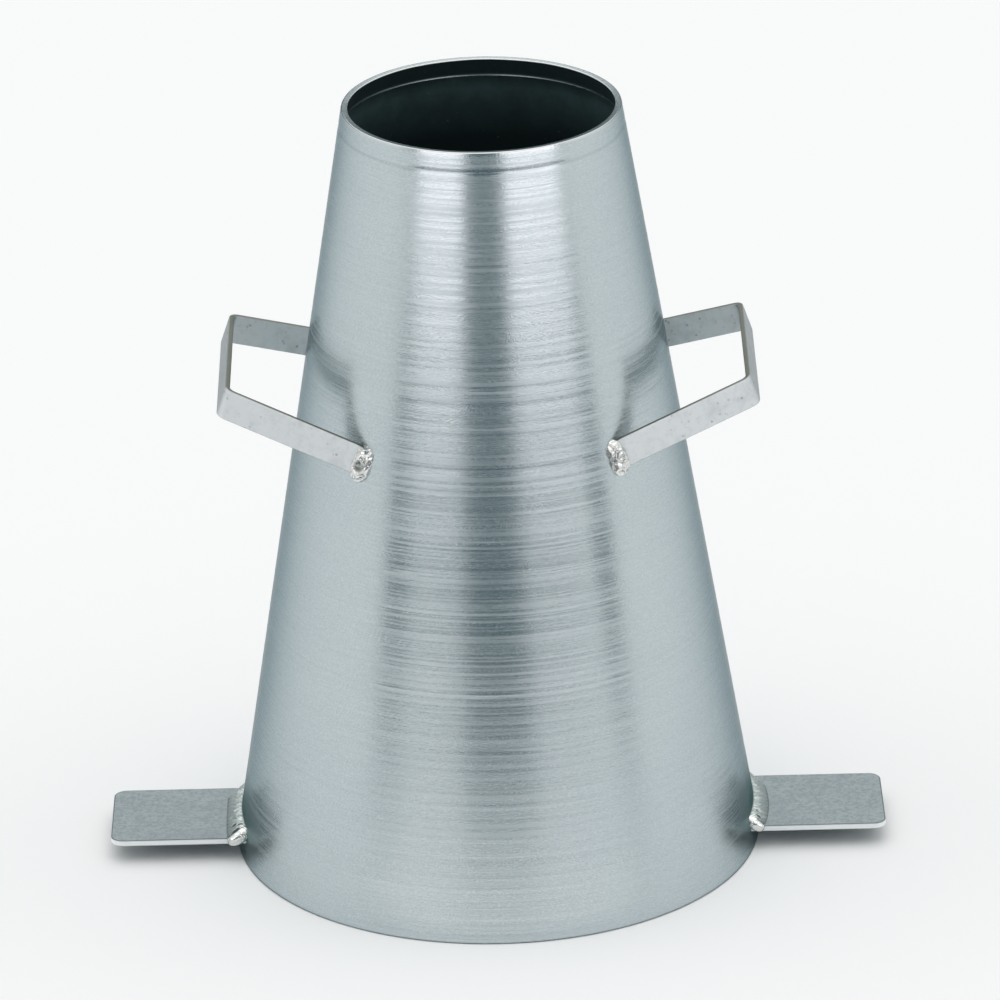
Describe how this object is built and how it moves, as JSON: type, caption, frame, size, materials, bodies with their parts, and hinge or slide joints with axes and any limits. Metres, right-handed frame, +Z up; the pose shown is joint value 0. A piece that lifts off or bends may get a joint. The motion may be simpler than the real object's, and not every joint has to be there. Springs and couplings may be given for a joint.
{
  "type": "slump cone",
  "caption": "Open conical steel mould for testing fresh concrete, with bent flat-bar handles and flat foot plates welded to a spun shell.",
  "frame": {"origin": "centre of the base rim, on the surface that the mould stands on", "axes": "+Z up along the cone's axis; +X towards the right handle and foot plate; -Y is the side that the picture shows"},
  "size_m": [0.3002, 0.203, 0.3],
  "materials": {
    "spun_shell": "zinc-plated spun sheet steel, satin, with fine rings round the cone",
    "flat_bar": "zinc-plated rolled flat bar, pale satin with small pits",
    "foot_plate": "zinc-plated steel plate, matt grey with bright edges",
    "weld": "zinc-plated weld bead, glossy and rippled"
  },
  "bodies": {
    "root": {"cone_shell": "spun_shell", "left_handle": "flat_bar", "right_handle": "flat_bar", "left_foot_plate": "foot_plate", "right_foot_plate": "foot_plate", "left_handle_front_weld": "weld", "left_handle_rear_weld": "weld", "right_handle_front_weld": "weld", "right_handle_rear_weld": "weld", "left_foot_upper_weld": "weld", "left_foot_lower_weld": "weld", "right_foot_upper_weld": "weld", "right_foot_lower_weld": "weld"}
  },
  "joints": []
}
